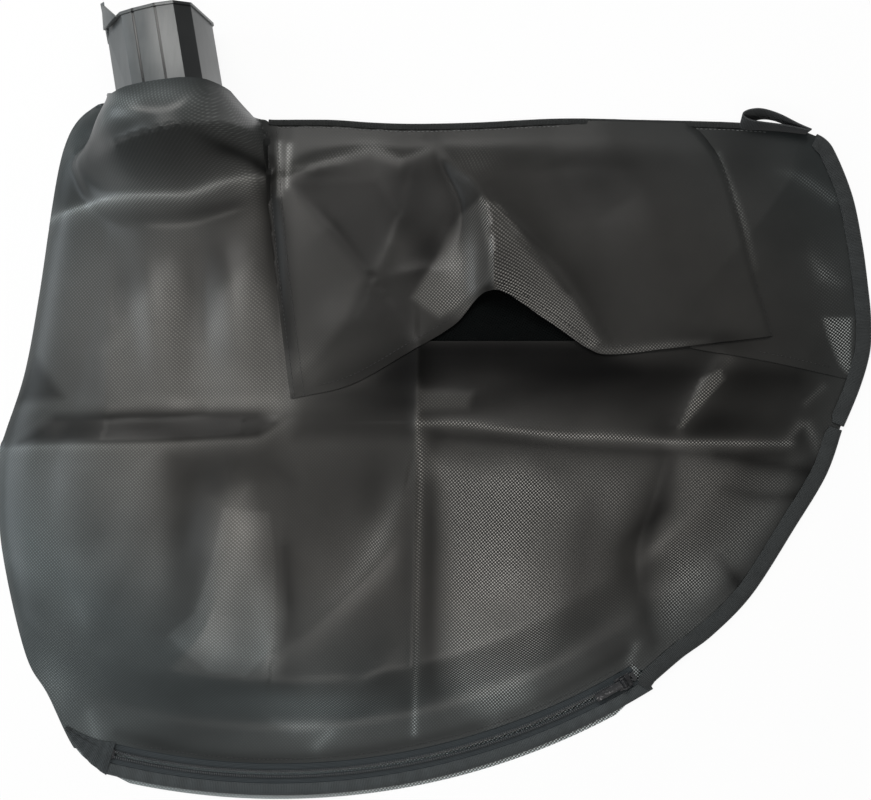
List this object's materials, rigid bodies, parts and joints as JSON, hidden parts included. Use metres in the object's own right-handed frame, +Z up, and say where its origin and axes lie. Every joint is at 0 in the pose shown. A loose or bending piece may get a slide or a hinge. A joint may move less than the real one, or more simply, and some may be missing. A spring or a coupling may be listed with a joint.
{
  "type": "leaf vacuum collection bag",
  "caption": "Empty cloth collection bag of a leaf vacuum, lying flat, with a moulded neck, a curved zip, ribbed binding, a dust flap over the vent and a hanging loop.",
  "frame": {"origin": "middle of the bag's box, on the floor that it lies on", "axes": "+X along the bag's width, away from the neck's side; +Y towards the neck's end; +Z up from the back panel"},
  "size_m": [0.661, 0.5886, 0.1002],
  "materials": {
    "bag_cloth": "coated woven cloth, charcoal, slight sheen",
    "flap_cloth": "coated woven cloth, charcoal, slight sheen",
    "vent_net": "fine knitted netting, near black",
    "binding_tape": "ribbed woven tape, dark grey",
    "zip_tape": "zip tape, dark grey",
    "zip_coil": "nylon coil, dark grey",
    "zip_metal": "dark enamel",
    "neck_plastic": "grey-black moulded plastic, soft gloss",
    "webbing": "woven webbing, black"
  },
  "bodies": {
    "bag": {"neck_connector": "neck_plastic", "front_panel": "bag_cloth", "back_panel": "bag_cloth", "vent_mesh": "vent_net", "dust_flap": "flap_cloth", "side_binding_upper": "binding_tape", "side_binding_lower": "binding_tape", "top_binding": "binding_tape", "zip_band": "binding_tape", "zip_tape_front": "zip_tape", "zip_tape_back": "zip_tape", "zip_coil_front": "zip_coil", "zip_coil_back": "zip_coil", "zip_stop_open_end": "zip_metal", "zip_stop_closed_end": "zip_metal", "hang_loop": "webbing"},
    "slider": {"zip_slider": "zip_metal"},
    "pull": {"zip_pull": "zip_metal"}
  },
  "joints": [
    {"name": "zip_run", "type": "hinge", "parent": "bag", "child": "slider", "pos_m": [-0.11867, 0.24966, 0.005], "axis": [0, 0, 1], "range_deg": [-42.7, 0]},
    {"name": "pull_swing", "type": "hinge", "parent": "slider", "child": "pull", "pos_m": [0.14259, -0.20457, 0.0092], "axis": [-0.4986, 0.8668, 0], "range_deg": [0, 165]}
  ]
}
